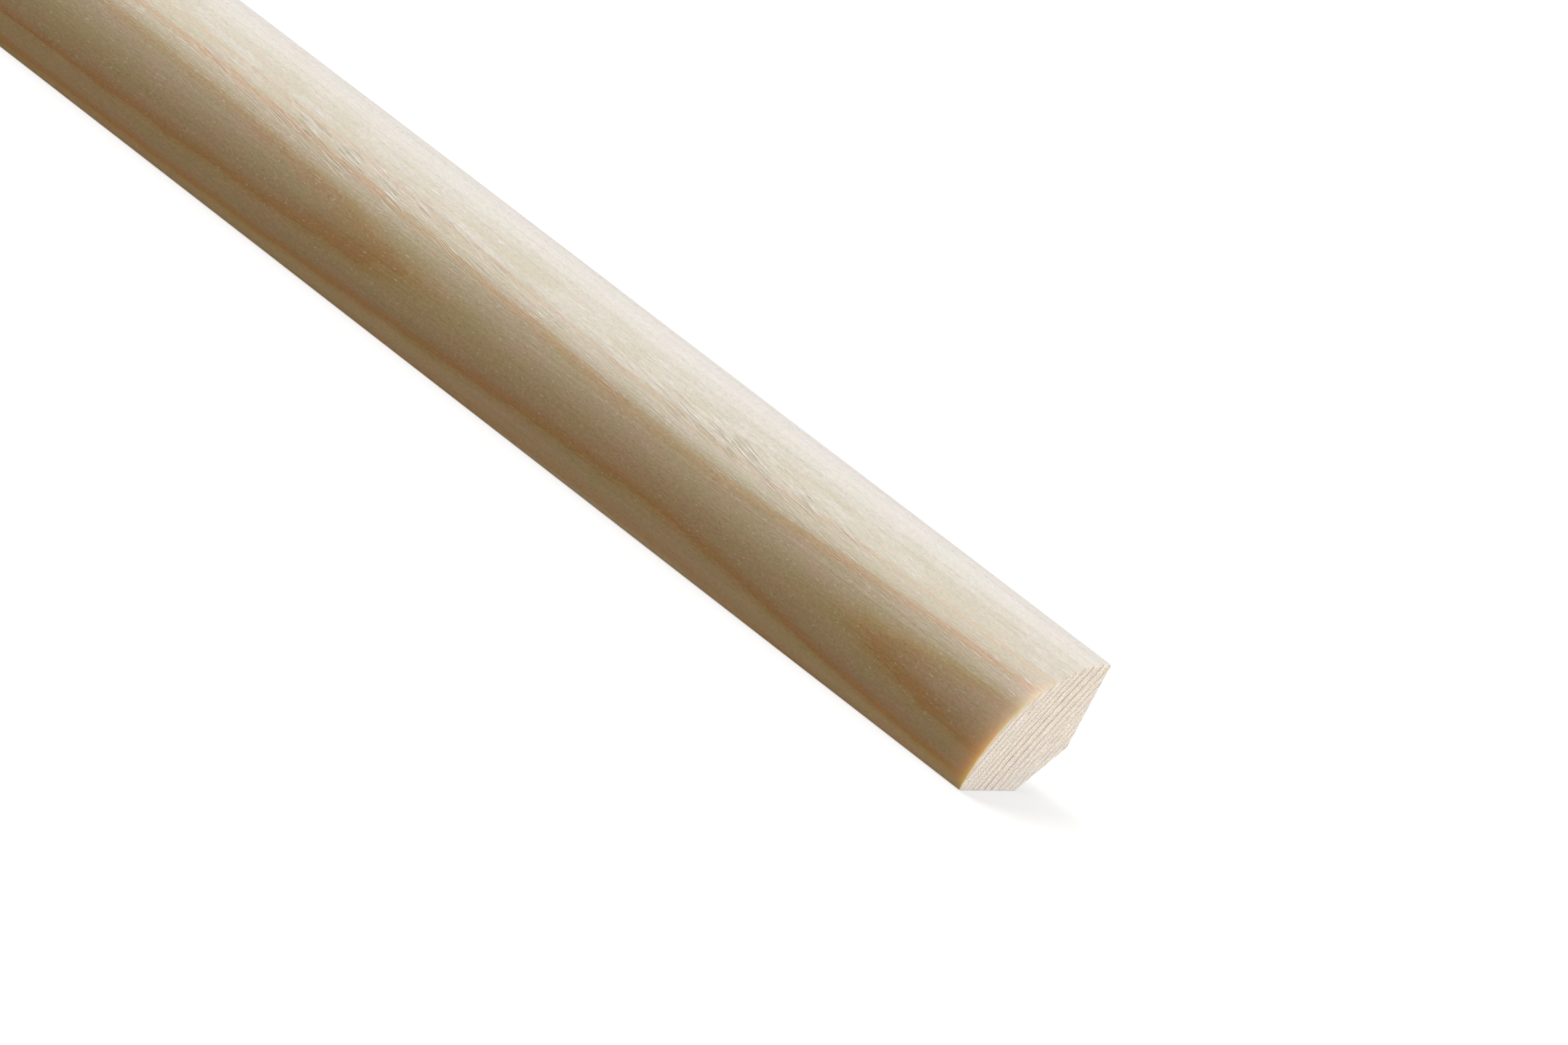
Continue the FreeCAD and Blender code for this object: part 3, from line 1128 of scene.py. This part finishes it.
class MOULDING_OT_studio(bpy.types.Operator):
    """Set the floor, the lamps and the camera round the moulding"""

    bl_idname = "moulding.studio"
    bl_label = "Studio"

    def execute(self, context):
        scene = context.scene
        settings = scene.moulding
        studio = settings.studio
        self.add_floor(context, studio)
        self.add_light(context, studio)
        self.add_camera(context, settings)
        scene.view_settings.view_transform = "Standard"
        return {"FINISHED"}

    def add_floor(self, context, studio):
        reach = 30.0
        drop = -0.02 * MM
        sides = ((-1, -1), (1, -1), (1, 1), (-1, 1))
        corners = [(x * reach, y * reach, drop) for x, y in sides]
        mesh = bpy.data.meshes.new("studio_floor")
        mesh.from_pydata(corners, [], [(0, 1, 2, 3)])
        mesh.materials.append(floor_material(studio))
        floor = bpy.data.objects.new("studio_floor", mesh)
        context.scene.collection.objects.link(floor)

    def add_light(self, context, studio):
        for name, lamp in LAMPS.items():
            add_lamp(context, name + "_lamp", getattr(studio, name), *lamp)
        world = bpy.data.worlds.new("studio_world")
        world.use_nodes = True
        world.node_tree.nodes.clear()
        start = Field(world.node_tree)
        seen = seen_directly(start)
        fill = tuple(channel * studio.fill for channel in studio.fill_colour)
        colour = start.blend(seen, fill, WHITE)
        light = start.node("ShaderNodeBackground", {}, {"Color": colour, "Strength": 1.0})
        start.node("ShaderNodeOutputWorld", {}, {"Surface": light})
        context.scene.world = world

    def add_camera(self, context, settings):
        studio = settings.studio
        camera = bpy.data.cameras.new("camera")
        camera.lens = studio.lens
        camera.sensor_width = 36.0
        camera.sensor_fit = "HORIZONTAL"
        placed = bpy.data.objects.new("camera", camera)
        context.scene.collection.objects.link(placed)
        foot = Vector((settings.sizes.length / 2, 0.0, 0.0))
        turn = Matrix.Rotation(studio.azimuth, 4, "Z")
        lift = Matrix.Rotation(math.pi / 2 - studio.elevation, 4, "X")
        roll = Matrix.Rotation(studio.roll, 4, "Z")
        back_off = Matrix.Translation((0.0, 0.0, studio.distance))
        aim = Matrix.Translation(foot + Vector(studio.aim))
        placed.matrix_world = aim @ turn @ lift @ roll @ back_off
        camera.clip_end = 100.0
        context.scene.camera = placed


class MOULDING_PT_panel(bpy.types.Panel):
    """Moulding tools in the 3D view's sidebar"""

    bl_idname = "MOULDING_PT_panel"
    bl_label = "Quarter Round Moulding"
    bl_space_type = "VIEW_3D"
    bl_region_type = "UI"
    bl_category = "Moulding"

    def draw(self, context):
        settings = context.scene.moulding
        for group in (settings.sizes, settings.figure, settings.surface, settings.colours, settings.studio):
            box = self.layout.box()
            for name in group.bl_rna.properties.keys():
                if name not in ("rna_type", "name"):
                    box.prop(group, name)
        for operator in (MOULDING_OT_quarter_round, MOULDING_OT_studio):
            self.layout.operator(operator.bl_idname)


CLASSES = (
    MouldingSizes,
    PineFigure,
    PineSurface,
    PineColours,
    StudioSettings,
    MouldingSettings,
    MOULDING_OT_quarter_round,
    MOULDING_OT_studio,
    MOULDING_PT_panel,
)


def register():
    for cls in CLASSES:
        bpy.utils.register_class(cls)
    bpy.types.Scene.moulding = PointerProperty(type=MouldingSettings)


def unregister():
    del bpy.types.Scene.moulding
    for cls in reversed(CLASSES):
        bpy.utils.unregister_class(cls)


def main():
    register()
    bpy.ops.moulding.quarter_round()
    bpy.ops.moulding.studio()


if __name__ == "__main__":
    main()
